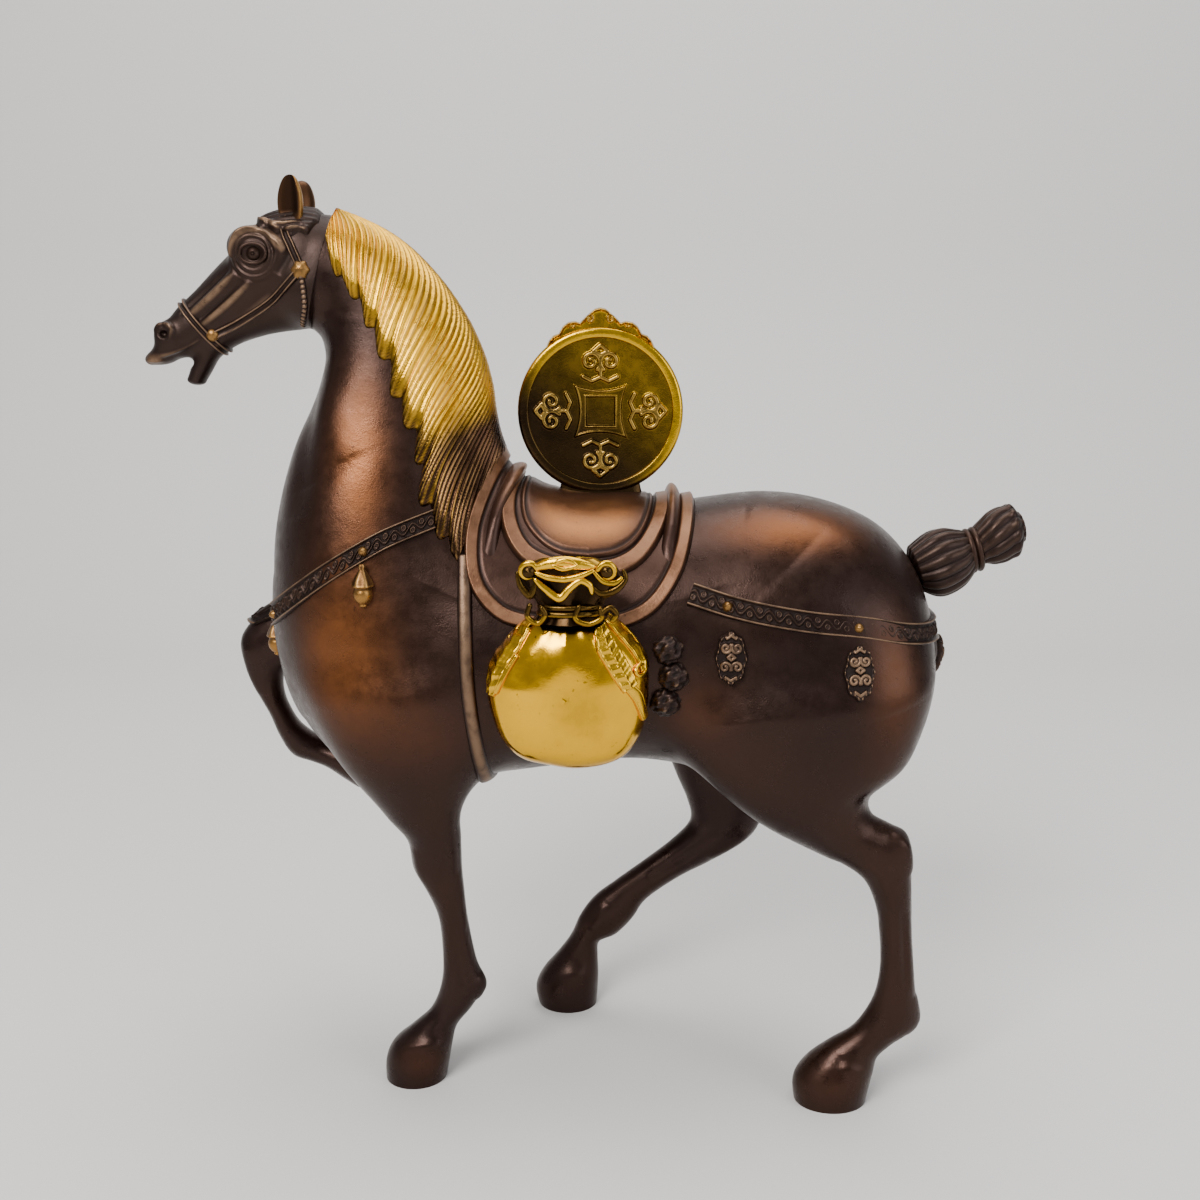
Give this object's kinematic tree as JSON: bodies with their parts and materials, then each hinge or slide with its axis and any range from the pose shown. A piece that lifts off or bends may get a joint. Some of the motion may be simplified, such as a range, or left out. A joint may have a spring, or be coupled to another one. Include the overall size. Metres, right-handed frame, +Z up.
{
  "type": "bronze horse statue",
  "caption": "Cast bronze figurine of a walking horse in Tang style, with saddle, bridle, a large standing coin on its back and a gilt money bag on each flank.",
  "frame": {"origin": "on the ground plane the hooves stand on, under the middle of the statue's bounding box", "axes": "+Z up; the horse faces -X; its left side is -Y"},
  "size_m": [0.2504, 0.098, 0.26],
  "materials": {
    "bronze": "dark brown patina, waxed, semi-gloss",
    "dark_bronze": "dark brown patina, satin, worn at the edges",
    "saddle_bronze": "brown patina, rubbed lighter on the raised parts",
    "worn_brass": "patina rubbed through to brass",
    "gilt_bag": "polished gilding",
    "aged_gilt": "gilding dulled in the hollows",
    "gilt_mane": "brushed gilding over dark grooves",
    "gilt_coin": "gilding fading to dark patina"
  },
  "bodies": {
    "root": {"bag_cord_left": "aged_gilt", "bag_cord_right": "aged_gilt", "bag_leaves_left": "aged_gilt", "bag_leaves_right": "aged_gilt", "bag_mouth_left": "gilt_bag", "bag_mouth_right": "gilt_bag", "bit_rosette_left": "worn_brass", "bit_rosette_right": "worn_brass", "breast_bell_front": "worn_brass", "breast_bell_left": "worn_brass", "breast_bell_right": "worn_brass", "breast_strap": "dark_bronze", "breast_studs": "worn_brass", "cheek_rosette_left": "worn_brass", "cheek_rosette_right": "worn_brass", "cheek_straps": "dark_bronze", "coin_crest": "gilt_coin", "coin_disc": "gilt_coin", "coin_foot": "gilt_coin", "coin_ornaments": "gilt_coin", "coin_rim": "gilt_coin", "coin_square": "gilt_coin", "crown_strap": "dark_bronze", "crupper_strap": "dark_bronze", "crupper_studs": "worn_brass", "ear_left": "bronze", "ear_right": "bronze", "eye_left": "bronze", "eye_right": "bronze", "fore_left_leg": "bronze", "fore_right_leg": "bronze", "forelock": "bronze", "girth_strap": "dark_bronze", "head": "bronze", "hind_left_leg": "bronze", "hind_right_leg": "bronze", "lower_jaw": "bronze", "mane": "gilt_mane", "medallion_rear": "dark_bronze", "medallions_left": "dark_bronze", "medallions_right": "dark_bronze", "money_bag_left": "gilt_bag", "money_bag_right": "gilt_bag", "neck": "bronze", "neck_spigot": "bronze", "noseband": "dark_bronze", "saddle_cantle": "saddle_bronze", "saddle_cloth": "saddle_bronze", "saddle_cloth_rim": "saddle_bronze", "saddle_flap": "saddle_bronze", "saddle_flap_rim": "saddle_bronze", "saddle_pommel": "saddle_bronze", "saddle_seat": "saddle_bronze", "saddle_tassel_left": "saddle_bronze", "saddle_tassel_right": "saddle_bronze", "tail_binding": "dark_bronze", "tail_lobe": "bronze", "tail_tuft": "bronze", "throat_strap": "dark_bronze", "trunk": "bronze"}
  },
  "joints": []
}
